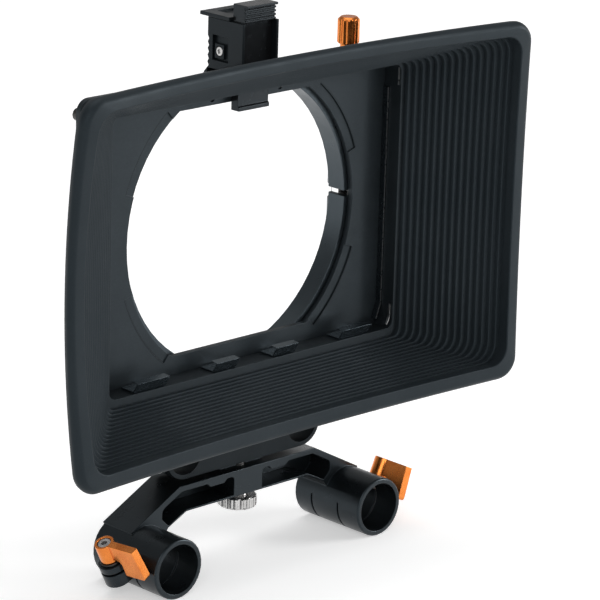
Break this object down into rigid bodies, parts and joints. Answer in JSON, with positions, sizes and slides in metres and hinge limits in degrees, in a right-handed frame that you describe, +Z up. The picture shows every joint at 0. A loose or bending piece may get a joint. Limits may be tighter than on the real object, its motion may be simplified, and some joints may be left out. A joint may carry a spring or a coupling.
{
  "type": "matte box",
  "caption": "Matte box with a stepped flared hood, filter stage with sprung latch, split lens clamp ring and a studio rod bracket with lever clamps.",
  "frame": {"origin": "midway between the two rod axes, in the plane where the hood meets the filter stage", "axes": "+X across the box, to the right seen from its front; +Y to the rear, where the lens is, along the rods; +Z up"},
  "size_m": [0.2298, 0.0586, 0.2129],
  "materials": {
    "hood_plastic": "matt, fine texture, dark charcoal",
    "black_anodised": "satin black anodised",
    "orange_anodised": "satin orange anodised",
    "black_plastic": "semi-gloss black",
    "bright_steel": "bright turned steel",
    "black_steel": "black oxide",
    "spring_steel": "dark spring steel"
  },
  "bodies": {
    "box": {"hood": "hood_plastic", "stage_frame": "black_anodised", "back_plate": "black_anodised", "body_screw_1": "black_steel", "body_screw_2": "black_steel", "body_screw_3": "black_steel", "body_screw_4": "black_steel", "body_screw_5": "black_steel", "body_screw_6": "black_steel", "side_strip_left": "spring_steel", "side_strip_right": "spring_steel", "filter_clip_outer_left": "black_steel", "filter_clip_inner_left": "black_steel", "filter_clip_inner_right": "black_steel", "filter_clip_outer_right": "black_steel", "clamp_ring": "black_anodised", "ring_screw_1": "black_steel", "ring_screw_2": "black_steel", "ring_screw_3": "black_steel", "latch_housing": "black_anodised", "latch_cap": "black_anodised", "latch_spring": "spring_steel", "latch_screw_left": "bright_steel", "latch_screw_right": "bright_steel", "latch_ear_screw_1": "black_steel", "latch_ear_screw_2": "black_steel", "rod_foot": "black_anodised", "foot_screw_1": "black_steel", "foot_screw_2": "black_steel", "rod_bracket": "black_anodised", "lever_washer_left": "bright_steel", "lever_washer_right": "bright_steel", "lock_stud": "black_steel"},
    "latch": {"latch_slide": "black_plastic"},
    "ring_clamp": {"clamp_knob": "orange_anodised", "clamp_screw": "black_steel"},
    "lever_l": {"lever_left": "orange_anodised", "lever_screw_left": "bright_steel"},
    "lever_r": {"lever_right": "orange_anodised", "lever_screw_right": "bright_steel"},
    "foot_lock": {"lock_wheel": "bright_steel"}
  },
  "joints": [
    {"name": "latch_lift", "type": "slide", "parent": "box", "child": "latch", "axis": [0, 0, 1], "range_m": [0, 0.007], "stiffness_N_per_m": 300, "springref_m": -0.006, "deforming": ["latch_spring"]},
    {"name": "ring_clamp_turn", "type": "hinge", "parent": "box", "child": "ring_clamp", "pos_m": [0.0637, 0.0205, 0.18], "axis": [0, 0, 1], "range_deg": [-540, 0]},
    {"name": "lever_left_turn", "type": "hinge", "parent": "box", "child": "lever_l", "pos_m": [-0.06485, 0.0017, -0.00613], "axis": [-0.4305, 0, 0.9026], "range_deg": [-100, 0]},
    {"name": "lever_right_turn", "type": "hinge", "parent": "box", "child": "lever_r", "pos_m": [0.06485, 0.0017, -0.00613], "axis": [0.4305, 0, 0.9026], "range_deg": [0, 100]},
    {"name": "foot_lock_turn", "type": "hinge", "parent": "box", "child": "foot_lock", "pos_m": [0, 0.0085, 0.009], "axis": [0, 0, 1], "range_deg": [0, 720]}
  ]
}
